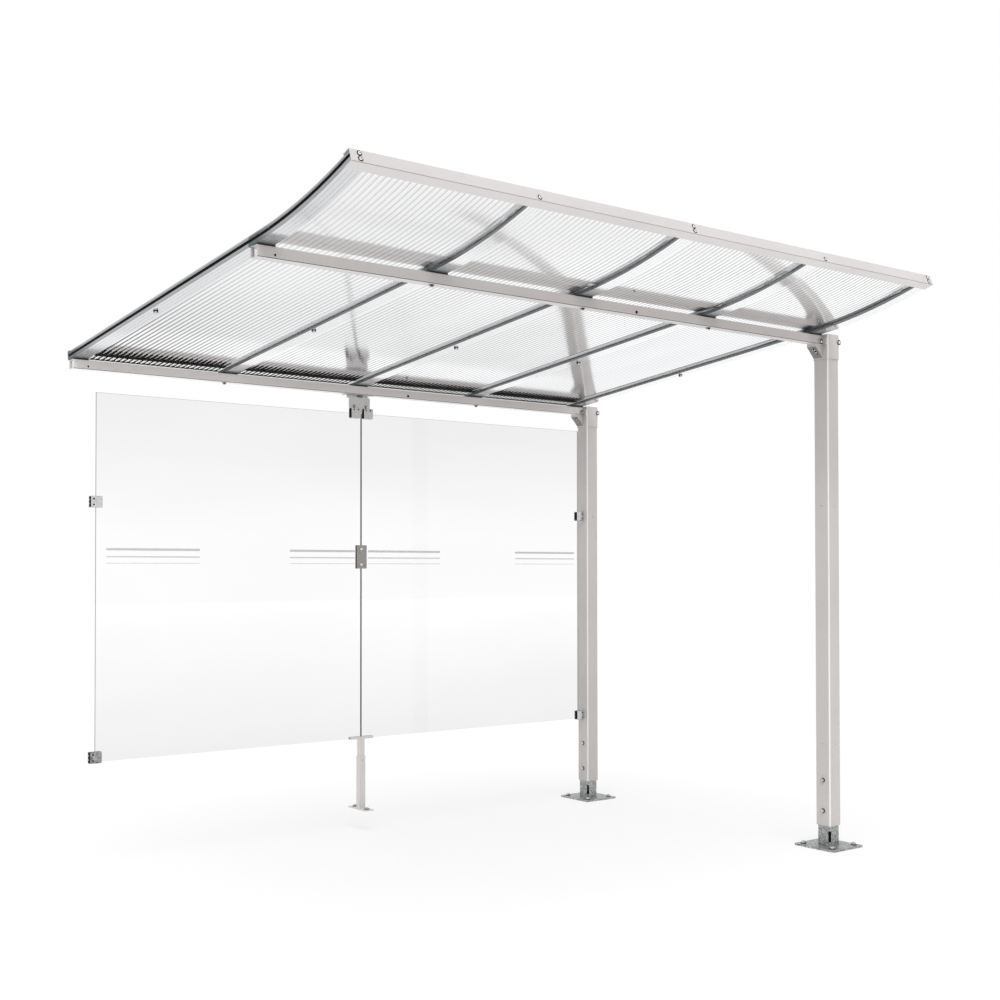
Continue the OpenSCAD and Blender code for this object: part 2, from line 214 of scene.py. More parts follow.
def powder_coat(name, dark, light, under, line=0.75, tilt=0.68, reach=(0.12, 0.25), bend=None, roof_shade=None):
    """Paint with painted light and shade: a painted highlight on rounded upright corners, painted shade
    where a face tilts down by tilt, and a colour of its own, under, on faces that look straight down,
    painted lighter for light thrown up from the floor and darker on the bracket for the shade under it.

    bend is where, in mm from a post's middle, a painted highlight lies on the front corner of its tube;
    it also brings painted shade high up on faces that look towards -X. The last argument is the share
    of a painted shade along a beam under the roof, with the X between which it builds up towards the
    posts.
    """
    mat, tree = new_material("powder_coated_" + name)
    tone = spread(tree, pattern(tree, 420, 3), 0, 1)
    gloss = spread(tree, pattern(tree, 60, 4), 0.34, 0.46)
    way = axes(tree, "Normal")
    across = maths(tree, "ABSOLUTE", times(tree, way[0], way[1]))
    slant = maths(tree, "ABSOLUTE", maths(tree, "ADD", way[2], tilt))
    below = spread(tree, way[2], 1, 0, (-0.99, -0.95))
    # faces that look straight down take their own colour: painted light from the floor, and painted shade on
    # the bracket
    thin = tinted(tree, below, tinted(tree, tone, dark, light), under)
    # painted highlight on rounded upright corners
    thin = tinted(tree, spread(tree, across, 0, 1, (0.1, 0.35)), thin, CORNER_HIGHLIGHT)
    if bend:
        # painted shade high up on faces that look towards -X, from 1.65 m upwards
        high = spread(tree, axes(tree)[2], 0, 0.28, (1.65, 2.25))
        film = times(tree, high, spread(tree, way[0], 1, 0, (-0.95, -0.7)))
        thin = tinted(tree, film, thin, HIGH_SIDE_SHADE)
        # painted highlight on the posts' front left corner
        thin = tinted(tree, corner_highlight_mask(tree, *bend), thin, LIT)
    if roof_shade:
        # painted shade along a beam under the roof, growing along X and weaker next to the post
        share, from_x, to_x = roof_shade
        x = axes(tree)[0]
        near_post = spread(tree, x, 1, 0.3, (-0.35, -0.15))
        film = times(tree, spread(tree, x, 0, share, (from_x, to_x)), near_post)
        thin = tinted(tree, film, thin, ROOF_SHADE)
    # painted shade on edges and faces that tilt down by tilt
    thin = tinted(tree, spread(tree, slant, line, 0, reach), thin, DOWNWARD_SHADE)
    return surface(mat, {
        "Base Color": thin, "Roughness": gloss, "IOR": 1.5,
        "Normal": relief(tree, 1.5, 1, 0.05, 0.35)})


MAIN_PAINT = ("CBC6C4", "D2CECC")
# stronger and wider painted shade along the beams' lower edges
LOWER_EDGE_SHADE = {"line": 1.0, "tilt": 0.54, "reach": (0.39, 0.45)}
PAINT = powder_coat("steel", *MAIN_PAINT, "DEDAD8")
PAINT_POST = powder_coat("post", *MAIN_PAINT, "DEDAD8", bend=(33.5, 36.5))
PAINT_BRACKET = powder_coat("bracket", *MAIN_PAINT, "5E5A58", bend=(37.0, 40.0))
# The front beam, rear beam, channel and leg carry the same grey coat as the posts; these copies are painted
# darker for the front beam and lighter for the others, to stand for the light and shade on them.
PAINT_BEAM_DARKER = powder_coat("beam", "C6C1BF", "CDC8C6", "D6D2D2",
                         roof_shade=(0.17, -2.5, -0.9), **LOWER_EDGE_SHADE)
PAINT_REAR_LIGHTER = powder_coat("rear_beam", "E6E1DF", "EDE8E6", "FAF8F7",
                         roof_shade=(0.25, -2.8, -1.6), **LOWER_EDGE_SHADE)
PAINT_CHANNEL_LIGHTER = powder_coat("channel", "D6D2D1", "DCD9D8", "DCD9D8")
PAINT_LEG_LIGHTER = powder_coat("leg", "DEDAD8", "E4E1DF", "EAE7E5")
print("paints ready for posts, brackets, beams, channels and leg")

# %% [markdown]
# ## Hot-dip galvanised steel
# The base plates and stubs are dipped in molten zinc, which freezes in crystals a few millimetres
# to a centimetre across, the spangle. Each crystal mirrors the light a little differently. Voronoi
# cells with a random grey and a random roughness per cell give that, broken up by a fine noise.

# %% Hot-dip galvanised steel
def galvanised(name, dark, light, cell_mm):
    """Zinc whose crystals are cell_mm across, each with its own grey and its own gloss."""
    mat, tree = new_material(name)
    place = add(tree, "ShaderNodeTexCoord").outputs["Object"]
    cells = {"Vector": place, "Scale": 1000 / cell_mm, "Randomness": 1.0}
    crystals = add(tree, "ShaderNodeTexVoronoi", cells)
    pick = add(tree, "ShaderNodeSeparateColor", {"Color": crystals.outputs["Color"]})
    grain = spread(tree, pattern(tree, 2.5, 3), -0.25, 0.25)
    tone = maths(tree, "ADD", pick.outputs[0], grain, clamp=True)
    return surface(mat, {
        "Base Color": tinted(tree, tone, dark, light), "Metallic": 0.9,
        "Roughness": spread(tree, pick.outputs[1], 0.32, 0.6, (0, 1)),
        "Normal": relief(tree, 4, 3, 0.12, 0.5)})


ZINC = galvanised("hot_dip_galvanised_steel", "7A7C7C", "C6C8C8", 6)
print("material", ZINC.name)

# %% [markdown]
# ## Die-cast zinc, anodised aluminium, rubber and stainless steel
# The glass clamps are zinc castings, tumbled and plated, so they are satin with a faint mottling.
# The rails are extruded aluminium with a clear anodised film: dies leave fine lines along the
# length, so their noise is stretched along Y, and the oxide film is a thin coat over the metal.
# The gaskets are EPDM rubber, nearly black and dull, and one shader serves black bolts too.

# %% Metals and rubber
def cast_zinc(name, dark, light, roughness, low=None):
    """Mottled satin metal; low is a blotchy darker tint on pieces below knee height."""
    mat, tree = new_material(name)
    tint = tinted(tree, spread(tree, pattern(tree, 9, 4), 0, 1), dark, light)
    if low:
        z = axes(tree)[2]
        blotch = spread(tree, pattern(tree, 14, 3), 0.35, 1.0)
        # blotchy darker tint below knee height
        low_darkening = times(tree, spread(tree, z, 1, 0, (0.6, 0.9)), blotch)
        tint = tinted(tree, low_darkening, tint, low)
    return surface(mat, {
        "Base Color": tint, "Metallic": 1.0,
        "Roughness": spread(tree, pattern(tree, 3, 2), roughness - 0.05, roughness + 0.05),
        "Normal": relief(tree, 1.2, 2, 0.03, 0.4)})


BEAM_FACES = (-0.012, -1.682)  # Y just in front of the rear and of the front beam


def near_beams(tree, rear_mm, front_mm, front_share=1.0, behind_mm=60):
    """1 over the front face of each beam, falling to 0 over a distance in front of it, 0 behind it."""
    along = axes(tree)[1]
    zones = []
    for face, reach_mm, share in zip(BEAM_FACES, (rear_mm, front_mm), (1.0, front_share)):
        past = spread(tree, along, 0, share, (face - reach_mm * MM, face))
        ahead = spread(tree, along, 1, 0, (face + behind_mm * MM, face + (behind_mm + 8) * MM))
        zones.append(times(tree, past, ahead))
    return maths(tree, "MAXIMUM", zones[0], zones[1])


def extruded(name, side_dark, side_light, under, fade_mm=110):
    """Anodised extrusion whose underside is painted far brighter than its sides, and whose sides and
    underside carry a painted shade and reflection of the beams in front of each beam, where the metal turns
    dull.
    """
    mat, tree = new_material(name)
    lines = pattern(tree, 5.0, 2, (1, 0.01, 1))
    facing = axes(tree, "Normal")[2]
    # painted light: undersides far brighter than the sides
    down = spread(tree, facing, 1, 0, (-0.9, -0.6))
    tint = tinted(tree, down, tinted(tree, spread(tree, lines, 0, 1), side_dark, side_light), under)
    # painted shade and reflection of the beams on sides and undersides in front of each beam
    dull = times(tree, near_beams(tree, fade_mm, 110), spread(tree, facing, 1, 0, (0.3, 0.7)))
    tint = tinted(tree, dull, tint, "666C6E")
    return surface(mat, {
        "Base Color": tint, "Metallic": spread(tree, dull, 1, 0, (0, 1)),
        "Roughness": spread(tree, lines, 0.13, 0.17),
        "Specular IOR Level": spread(tree, dull, 0.5, 0.05, (0, 1)),
        "Coat Weight": spread(tree, dull, 0.8, 0.0, (0, 0.6)), "Coat Roughness": 0.08, "Coat IOR": 1.76})


def rubber(name, dark, light, sheen=0.5):
    """Dull dark material, lightly dusted; sheen is how much it mirrors."""
    mat, tree = new_material(name)
    dust_and_reflection = spread(tree, pattern(tree, 30, 4), 0, 1)
    return surface(mat, {
        "Base Color": tinted(tree, dust_and_reflection, dark, light), "IOR": 1.5, "Specular IOR Level": sheen,
        "Roughness": spread(tree, pattern(tree, 8, 2), 0.6, 0.8),
        "Normal": relief(tree, 1.0, 2, 0.05, 0.4)})


ZINC_BRIGHT = cast_zinc("tumbled_zinc_casting", "C6C6C7", "DEDEDF", 0.3)
ZINC_DARKER_LOW = cast_zinc("zinc_casting_darker_low", "C6C6C7", "DEDEDF", 0.3, "6C6C6D")
ZINC_MID = cast_zinc("plated_zinc_casting", "8F8F8F", "A8A8A8", 0.32)
ZINC_DARK = cast_zinc("passivated_zinc_casting", "BEBEBF", "E2E2E3", 0.35)
CLIP_STEEL = cast_zinc("satin_clip_steel", "908D8A", "A29F9C", 0.35)
HANGER_STEEL = cast_zinc("zinc_plated_sheet", "BCBAB9", "CECCCB", 0.34)
ALUMINIUM = extruded("anodised_aluminium", "646668", "787A7C", "F6F7F8")
# the end rail is a copy with its own painted light and shade: lighter sides, a less bright underside, and a
# longer painted shade in front of the rear beam
ALUMINIUM_END = extruded("anodised_end_rail", "8A8C8E", "9C9EA0", "DCDEE0", 260)
CAP_ALUMINIUM = extruded("anodised_cap_aluminium", "7A7C7E", "8C8E90", "D0D2D4")
WEDGE_RUBBER = rubber("weathered_epdm_rubber", "1C1D1E", "2C2D2E")
RUBBER = rubber("epdm_rubber", "050506", "0C0C0D", 0.12)
STAINLESS = cast_zinc("stainless_steel", "A8A8A9", "CFCFD0", 0.2)
HEAD_STEEL = cast_zinc("polished_screw_steel", "E0E0E0", "F6F6F6", 0.22)
FLANK_STEEL = cast_zinc("shaded_bolt_flanks", "303030", "444444", 0.4)
BLACK_STEEL = rubber("black_oxide_steel", "1B1B1B", "2E2D2D")
print(len(bpy.data.materials), "materials so far")

# %% [markdown]
# ## Clear polycarbonate and glass
# Both are clear, and what the eye gets is what they mirror at a shallow angle and what shows
# through. A refracting shader would be exact, but a thin sheet hardly bends light, so a Fresnel mix
# of Transparent and Glossy is cleaner and lets daylight through to what stands below. Only front
# faces mirror, because the share of every wall inside the sheet is counted in gain.

# %% See-through shader
def see_through(tree, ior, gain, mirror, body, roughness):
    """Fresnel mix: mirror is the tint of reflections, body the tint of what shows through."""
    share = socket(tree, "ShaderNodeFresnel", {"IOR": ior})
    back = add(tree, "ShaderNodeNewGeometry").outputs["Backfacing"]
    front = minus(tree, 1.0, back)
    lift = maths(tree, "MULTIPLY", share, gain, clamp=True)
    fac = times(tree, lift, front)
    clear = socket(tree, "ShaderNodeBsdfTransparent", {"Color": body})
    gloss = socket(tree, "ShaderNodeBsdfGlossy", {"Color": mirror, "Roughness": roughness})
    return socket(tree, "ShaderNodeMixShader", {0: fac, 1: clear, 2: gloss})


def stripes_across(tree, pitch_mm, from_mm, low, high):
    """Stripes of a pitch across X: 0 on a line from_mm from the middle of the posts, 1 between lines."""
    x = minus(tree, axes(tree)[0], from_mm * MM)
    turn = times(tree, x, math.tau * 1000 / pitch_mm)
    return spread(tree, maths(tree, "COSINE", turn), 1, 0, (low, high))


# %% [markdown]
# ## Sheet, glass, rim and tape
# A fluted sheet is clear between its ribs and duller on them, so its tints run in stripes. Over the
# beams its underside carries a painted dark reflection and shade of the beams, and its rib lines turn
# dark grey towards the left rear corner. Glass is told by its cut edges, which are darker than its faces;
# those facing +X are painted darker as shade, and the top edges white as a painted highlight, while a
# painted reflection greys the glass towards its top and bottom. The sheet's rim is milky, and fleece
# tape closes its ends; its white also stands for the bright background seen through them.

# %% Clear and milky materials
FLUTE, FLUTE_LINE = 25.0, 2.0  # mm from rib to rib, and from the posts' middle to a rib
PANE_LOW, PANE_HIGH = 0.466, 2.137
POLYCARBONATE_IOR, GLASS_IOR = 1.58, 1.5


def polycarbonate_skin():
    """Both skins of a sheet: bright mirrors between the ribs, and a painted dark reflection and shade of the
    beams over them.
    """
    mat, tree = new_material("clear_polycarbonate")
    stripes = stripes_across(tree, FLUTE, FLUTE_LINE, -0.15, 0.8)
    cloud = spread(tree, pattern(tree, 350, 3, (1, 0.4, 1)), 0.0, 0.5)
    weight = maths(tree, "MAXIMUM", stripes, cloud)
    x, y, _ = axes(tree)
    # the rib lines' mirror tint turns dark grey towards the left rear corner
    low = spread(tree, y, 0, 1, (-1.3, -0.2))
    corner = times(tree, spread(tree, x, 1, 0, (-3.1, -2.3)), low)
    lines = minus(tree, 1.0, stripes)
    corner = times(tree, corner, lines)
    under = spread(tree, axes(tree, "Normal")[2], 1, 0, (-0.6, 0.0))
    # painted reflection and shade of the beams on the underside over them: a dark mirror tint, darkest on
    # the rib lines, and a grey tint on what shows through
    dust_and_reflection = times(tree, near_beams(tree, 320, 200, 0.3, -12), under)
    reflection_on_ribs = times(tree, spread(tree, dust_and_reflection, 0, 1, (0.45, 0.75)), lines)
    mirror = tinted(tree, corner, tinted(tree, weight, "D1D3D4", "FEFEFF"), "6E6E6E")
    mirror = tinted(tree, spread(tree, dust_and_reflection, 0, 1, (0.78, 1.0)), mirror, "242627")
    mirror = tinted(tree, reflection_on_ribs, mirror, "141516")
    body = tinted(tree, dust_and_reflection, tinted(tree, stripes, "E8E8E8", "FFFFFF"), "B4B6B7")
    close(tree, see_through(tree, POLYCARBONATE_IOR, 3.8, mirror, body, 0.11))
    return mat


def polycarbonate_web():
    """Ribs inside a sheet, which scatter a little of the light."""
    mat, tree = new_material("frosted_polycarbonate_rib")
    haze = spread(tree, pattern(tree, 40, 3), 0.08, 0.14)
    clear = socket(tree, "ShaderNodeBsdfTransparent", {"Color": srgb("FBFBFB")})
    solid = socket(tree, "ShaderNodeBsdfPrincipled", {
        "Base Color": srgb("E2E2E2"), "Roughness": 0.35, "IOR": POLYCARBONATE_IOR})
    close(tree, socket(tree, "ShaderNodeMixShader", {0: haze, 1: clear, 2: solid}))
    return mat


def toughened_glass():
    """Clear glass; a painted reflection makes its tint slightly greyer towards the top and the bottom of the
    wall.
    """
    mat, tree = new_material("toughened_glass")
    # painted reflection: the tint is slightly greyer towards the top and the bottom of the wall
    reflection_by_height = add(tree, "ShaderNodeValToRGB", {0: spread(tree, axes(tree)[2], 0, 1, (PANE_LOW, PANE_HIGH))})
    stops = reflection_by_height.color_ramp.elements
    stops[0].position, stops[0].color = 0.0, srgb("F7F7F7")
    stops[1].position, stops[1].color = 1.0, srgb("F8F8F8")
    for at, shade in ((0.16, "FAFAFA"), (0.42, "FFFFFF"), (0.62, "FFFFFF"), (0.85, "FAFAFA")):
        stops.new(at).color = srgb(shade)
    smear = spread(tree, pattern(tree, 500, 3, (0.3, 1, 1)), 0.98, 1.0)
    both = {0: 1.0, 6: reflection_by_height.outputs[0], 7: smear}
    body = add(tree, "ShaderNodeMix", both, data_type="RGBA", blend_type="MULTIPLY")
    facing = axes(tree, "Normal")
    cut_edge = spread(tree, maths(tree, "ABSOLUTE", facing[1]), 1, 0, (0.4, 0.6))
    tint = tinted(tree, cut_edge, body.outputs[2], "A2A6A5")
    # painted shade on cut edges that face +X, and a painted highlight on top edges
    tint = tinted(tree, spread(tree, facing[0], 0, 1, (0.5, 0.9)), tint, "6E7171")
    tint = tinted(tree, spread(tree, facing[2], 0, 1, (0.5, 0.9)), tint, "FFFFFF")
    close(tree, see_through(tree, GLASS_IOR, 0.8, srgb("F9F9F9"), tint, 0.01))
    return mat


def sheet_margin():
    """Solid edge of the sheet, where the skins meet and turn milky."""
    mat, tree = new_material("milky_polycarbonate_edge")
    milk = spread(tree, pattern(tree, 60, 3, (1, 0.2, 1)), 0, 1)
    return surface(mat, {
        "Base Color": tinted(tree, milk, "C2C4C5", "CECFD0"), "Roughness": 0.5, "IOR": POLYCARBONATE_IOR,
        "Normal": relief(tree, 6, 2, 0.05, 0.2)})


def breather_tape():
    """White fleece tape on the open ends of the flutes; daylight from above shines through it, and its white
    also stands for the bright background seen through the open ends: painted light.
    """
    mat, tree = new_material("white_breather_tape")
    weave = spread(tree, pattern(tree, 3, 2), 0, 1)
    # its white also stands for the bright background seen through the open flute ends
    white = tinted(tree, weave, "F4F4F4", "FFFFFF")
    glow = socket(tree, "ShaderNodeBsdfTranslucent", {"Color": white})
    face = socket(tree, "ShaderNodeBsdfDiffuse", {"Color": white})
    close(tree, socket(tree, "ShaderNodeMixShader", {0: 0.15, 1: glow, 2: face}))
    return mat


SKIN, WEB, GLASS = polycarbonate_skin(), polycarbonate_web(), toughened_glass()
MARGIN, TAPE = sheet_margin(), breather_tape()
print("clear and milky:", [m.name for m in (SKIN, WEB, GLASS, MARGIN, TAPE)])

# %% [markdown]
# ## Finishes onto the CAD nodes
# A CAD node keeps its mesh, and only its material slots change. A short table says which finish
# each group of nodes has, and a node takes the first row whose word is in its name.

# %% Assign finishes
FINISHES = [
    ("_base_plate", ZINC), ("_stub", ZINC), ("_post", PAINT_POST), ("_head_bracket", PAINT_BRACKET),
    ("front_beam", PAINT_BEAM_DARKER), ("rear_beam", PAINT_REAR_LIGHTER), ("eave_channel", PAINT_CHANNEL_LIGHTER),
    ("leg_", PAINT_LEG_LIGHTER), ("_wedges", WEDGE_RUBBER), ("rail_gasket", RUBBER), ("rail_cap", CAP_ALUMINIUM),
    ("rail_1", ALUMINIUM_END), ("rail_", ALUMINIUM), ("roof_panel", SKIN), ("glass_", GLASS),
    ("left_clamps", ZINC_DARKER_LOW), ("right_clamps", ZINC_DARK), ("centre_clip", CLIP_STEEL),
    ("centre_hanger", HANGER_STEEL), ("rear_channel", PAINT)]

for node, solid in NODES.items():
    solid.data.materials.clear()
    solid.data.materials.append(next(mat for word, mat in FINISHES if word in node))
print(len(NODES), "CAD nodes given a finish")

# %% [markdown]
# ## Where the roof runs
# The sheets, the screws under the rails and the foam fillers all follow the rails: straight over
# the posts, then an arc that turns up at the front. The path has a rule, so one function in Python
# and the same rule in Geometry Nodes place everything, instead of measuring points one by one.

# %% The roof's path
SLOPE_RISE = 0.186  # between the beams
TILT = math.atan2(SLOPE_RISE, SPAN)
BEND_Y, BEND_R, BEND_TURN = -1.690, 2.450, math.radians(14)
REAR_Y = 0.050  # back ends of the sheets
BEAM_TOP, BEAM_BACK, WEDGE = 2.278, 0.040, 0.00035  # of the rear beam, and its wedges' thin side
BEND_Z = BEAM_TOP + WEDGE + SLOPE_RISE / SPAN * (BEAM_BACK - BEND_Y)
RUN = (REAR_Y - BEND_Y) / math.cos(TILT)
ARC = BEND_R * BEND_TURN


def on_roof(x, along, high):
    """Point at x, along the rails from the bend (back is positive), high over their underside."""
    turn = max(-along, 0) / BEND_R
    y = max(along, 0) - (BEND_R - high) * math.sin(turn)
    z = BEND_R - (BEND_R - high) * math.cos(turn)
    return Vector((x, BEND_Y + y * math.cos(TILT) + z * math.sin(TILT),
                   BEND_Z - y * math.sin(TILT) + z * math.cos(TILT)))


def roof_up(along):
    """Direction square off the underside there."""
    turn = max(-along, 0) / BEND_R + TILT
    return Vector((0, math.sin(turn), math.cos(turn)))


tip = on_roof(0, -ARC, 0)
print("front end of the rails", [round(v, 4) for v in tip])

# %% [markdown]
# ## Fluted roof sheets
# The roof sheets are twin-wall polycarbonate: two thin skins held apart by ribs that run from back
# to front. The CAD solids are plain slabs, so each is replaced by a sheet with a softly waved lower
# skin and real ribs inside. Geometry Nodes build it, because both follow one rule. These helpers
# make a tree with named inputs, run it and keep the plain mesh that it gives.

# %% Sockets for Geometry Nodes trees
def xyz(tree, x=0.0, y=0.0, z=0.0):
    """A vector socket from numbers or sockets."""
    return socket(tree, "ShaderNodeCombineXYZ", {0: x, 1: y, 2: z})


def new_tree(name, **labels):
    """A Geometry Nodes group and its inputs, whose names are given by kind."""
    tree = bpy.data.node_groups.new(name, "GeometryNodeTree")
    tree.interface.new_socket("Geometry", in_out="OUTPUT", socket_type="NodeSocketGeometry")
    for kind, names in {"Geometry": "Geometry", **labels}.items():
        for label in names.split(", "):
            tree.interface.new_socket(label, in_out="INPUT", socket_type="NodeSocket" + kind)
    return tree, add(tree, "NodeGroupInput").outputs


def run_tree(name, tree, values, start=None):
    """The plain mesh that a tree gives, as a new object at the origin."""
    carrier = in_scene(name + "_carrier", start or bpy.data.meshes.new(name + "_start"))
    modifier = carrier.modifiers.new("nodes", "NODES")
    modifier.node_group = tree
    ids = {s.name: s.identifier for s in tree.interface.items_tree if s.in_out == "INPUT"}
    for label, value in values.items():
        modifier[ids[label]] = value
    bpy.context.view_layer.update()
    graph = bpy.context.evaluated_depsgraph_get()
    made = bpy.data.meshes.new_from_object(carrier.evaluated_get(graph))
    carrier.modifiers.remove(modifier)
    bpy.data.objects.remove(carrier)
    return in_scene(name, made)


def new_piece(name, verts, faces, *mats):
    """A new object from corners and faces, with its materials."""
    mesh = bpy.data.meshes.new(name)
    mesh.from_pydata(verts, [], faces)
    for mat in mats:
        mesh.materials.append(mat)
    return in_scene(name, mesh)


def keep(piece, slot, *stands_for):
    """Ride on the body and stand for CAD nodes; slot is not used."""
    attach(piece, "root")
    if stands_for:
        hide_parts(*stands_for)
    print(piece.name, len(piece.data.polygons), "faces")
    return piece


# %% [markdown]
# ## Bending along the roof
# A sheet, a comb or a strip is made flat first, with X across, Y from the back and Z up. One Set
# Position node then bends it, which is simpler than modelling anything on the curve.

# %% Steps that the trees share
def bend_along_roof(tree, geometry, radius, run):
    """Moves points given as (x, distance from the back, height) onto the roof's path."""
    x, y, z = split(tree, socket(tree, "GeometryNodeInputPosition"))
    past = minus(tree, y, run)
    turn = maths(tree, "DIVIDE", maths(tree, "MAXIMUM", past, 0.0), radius)
    left = maths(tree, "MAXIMUM", times(tree, past, -1.0), 0.0)
    arm = minus(tree, radius, z)
    y = minus(tree, left, times(tree, arm, maths(tree, "SINE", turn)))
    z = minus(tree, radius, times(tree, arm, maths(tree, "COSINE", turn)))
    bent = {"Geometry": geometry, "Position": xyz(tree, x, y, z)}
    moved = socket(tree, "GeometryNodeSetPosition", bent)
    # the path counts from the back forwards, which mirrors the mesh, so its faces are flipped back
    return socket(tree, "GeometryNodeFlipFaces", {"Mesh": moved})


def row_along_x(tree, form, count, first, pitch, z=0.0):
    """Copies of a shape on a line along X."""
    line = socket(tree, "GeometryNodeMeshLine", {
        "Count": count, "Start Location": xyz(tree, first, 0.0, z), "Offset": xyz(tree, pitch)})
    return socket(tree, "GeometryNodeInstanceOnPoints", {"Points": line, "Instance": form})


def object_shape(tree, source):
    """Mesh of the object in a socket."""
    info = add(tree, "GeometryNodeObjectInfo", {"Object": source}, transform_space="ORIGINAL")
    return info.outputs["Geometry"]


def slab(tree, width, length, height, across, rows):
    """A block with many vertices along it, so that it can bend."""
    return socket(tree, "GeometryNodeMeshCube", {
        "Size": xyz(tree, width, length, height), "Vertices X": across, "Vertices Y": rows,
        "Vertices Z": 2})


# %% [markdown]
# ## The sheet as a tree
# A Mesh Cube with many vertices across gives both skins, and a cosine of X lifts the lower one
# between the ribs. The ribs are instances on a line, made real at the end for the export.

# %% The fluted sheet tree
RIB_WALL, RIB_INSET, RIB_SIDE, SKIN_T = 0.0009, 0.004, 0.01, 0.0009


def sheet_tree():
    """Waved skins on a slab, with a thin wall on each line of a flute, bent along the roof."""
    floats = "Width, Length, Thickness, Height, Middle, Pitch, Line, Wave, Radius, Run, Rib height"
    tree, o = new_tree("fluted_sheet", Float=floats, Int="Across, Rows", Material="Skin, Rib")
    half_t = times(tree, o["Thickness"], 0.5)
    block = slab(tree, o["Width"], o["Length"], o["Thickness"], o["Across"], o["Rows"])
    # lower skin: lifted between the ribs, level at them
    x, _, z = split(tree, socket(tree, "GeometryNodeInputPosition"))
    centre = minus(tree, o["Middle"], o["Line"])
    world_x = maths(tree, "ADD", x, centre)
    phase = times(tree, maths(tree, "DIVIDE", world_x, o["Pitch"]), math.tau)
    bulge = times(tree, minus(tree, 1.0, maths(tree, "COSINE", phase)), o["Wave"])
    low = maths(tree, "LESS_THAN", z, 0.0)
    lift = xyz(tree, z=times(tree, bulge, low))
    waved = socket(tree, "GeometryNodeSetPosition", {"Geometry": block, "Offset": lift})
    skin = socket(tree, "GeometryNodeSetMaterial", {"Geometry": waved, "Material": o["Skin"]})
    # ribs: one thin wall on each line of a flute, kept inside the skins
    rib_length = minus(tree, o["Length"], RIB_INSET)
    rib = slab(tree, RIB_WALL, rib_length, o["Rib height"], 2, o["Rows"])
    room = minus(tree, o["Width"], RIB_SIDE)
    count = maths(tree, "FLOOR", maths(tree, "DIVIDE", room, o["Pitch"]))
    edge = minus(tree, centre, times(tree, o["Width"], 0.5))
    first = maths(tree, "DIVIDE", maths(tree, "ADD", edge, RIB_INSET), o["Pitch"])
    start_x = times(tree, maths(tree, "CEIL", first), o["Pitch"])
    start_x = minus(tree, start_x, centre)
    rib_z = minus(tree, times(tree, o["Rib height"], 0.5),
                  minus(tree, half_t, SKIN_T))
    ribs = row_along_x(tree, rib, count, start_x, o["Pitch"], rib_z)
    ribs = socket(tree, "GeometryNodeSetMaterial", {"Geometry": ribs, "Material": o["Rib"]})
    both = add(tree, "GeometryNodeJoinGeometry")
    tree.links.new(skin, both.inputs[0])
    tree.links.new(ribs, both.inputs[0])
    solid = socket(tree, "GeometryNodeRealizeInstances", {0: both.outputs[0]})
    place = xyz(tree, o["Middle"], times(tree, o["Length"], 0.5), half_t)
    set_off = socket(tree, "GeometryNodeSetPosition", {"Geometry": solid, "Offset": place})
    raised = {"Geometry": set_off, "Offset": xyz(tree, z=o["Height"])}
    set_off = socket(tree, "GeometryNodeSetPosition", raised)
    bent = bend_along_roof(tree, set_off, o["Radius"], o["Run"])
    smooth = socket(tree, "GeometryNodeSetShadeSmooth", {"Geometry": bent, "Shade Smooth": True})
    add(tree, "NodeGroupOutput", {0: smooth})
    return tree


def along_roof(name, tree, values):
    """The piece that a tree makes along the roof's path, tilted into its place."""
    piece = run_tree(name, tree, {"Radius": BEND_R, "Run": RUN, **values})
    tilt = Matrix.Rotation(-TILT, 4, "X")
    piece.data.transform(Matrix.Translation((0, BEND_Y, BEND_Z)) @ tilt)
    piece.data.update()
    return piece


# %% [markdown]
# ## Four sheets from one tree
# Only the width and the place differ, so each CAD panel's box gives the numbers for its sheet.

# %% Make the sheets
SHEET_T, SHEET_LOW = 0.010, 0.01475
sheets = sheet_tree()
for i in range(1, 5):
    lo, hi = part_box(f"roof_panel_{i}")
    piece = along_roof(f"fluted_sheet_{i}", sheets, {
        "Width": hi.x - lo.x, "Length": RUN + ARC, "Thickness": SHEET_T, "Height": SHEET_LOW,
        "Middle": (lo.x + hi.x) / 2, "Pitch": FLUTE * MM, "Line": FLUTE_LINE * MM, "Wave": 0.00007,
        "Rib height": 0.0032, "Across": 185, "Rows": 49, "Skin": SKIN, "Rib": WEB})
    keep(piece, "panel_polycarbonate", f"roof_panel_{i}")

# %% [markdown]
# ## Fasteners
# Bolts, screws, nuts and anchors repeat all over the frame. Each kind is one small turned or
# six-sided mesh, and a Geometry Nodes tree puts a copy on every point of a point cloud, turned to
# the direction stored with the point. Adding a screw is then one line in a list.

# %% Fastener shapes
def turned(rings, sides, phase=0.0):
    """Closed mesh data from (radius, height) rings, first and last closed by a flat cap."""
    verts, faces = [], []
    for r, h in rings:
        for k in range(sides):
            a = math.tau * (k + phase) / sides
            verts.append((r * math.cos(a) * MM, r * math.sin(a) * MM, h * MM))
    for j in range(len(rings) - 1):
        for k in range(sides):
            a, b = j * sides + k, j * sides + (k + 1) % sides
            faces.append((a, b, b + sides, a + sides))
    faces.append(tuple(range(sides))[::-1])
    faces.append(tuple(range((len(rings) - 1) * sides, len(rings) * sides)))
    return verts, faces


def shape(name, parts):
    """Object with several turned parts, each with its own material; shared by its copies."""
    verts, faces, tags, mats = [], [], [], []
    for (v, f), mat in parts:
        faces += [tuple(i + len(verts) for i in face) for face in f]
        verts += v
        if mat not in mats:
            mats.append(mat)
        tags += [mats.index(mat)] * len(f)
    form = new_piece(name + "_pattern", verts, faces, *mats)
    form.data.polygons.foreach_set("material_index", tags)
    return form


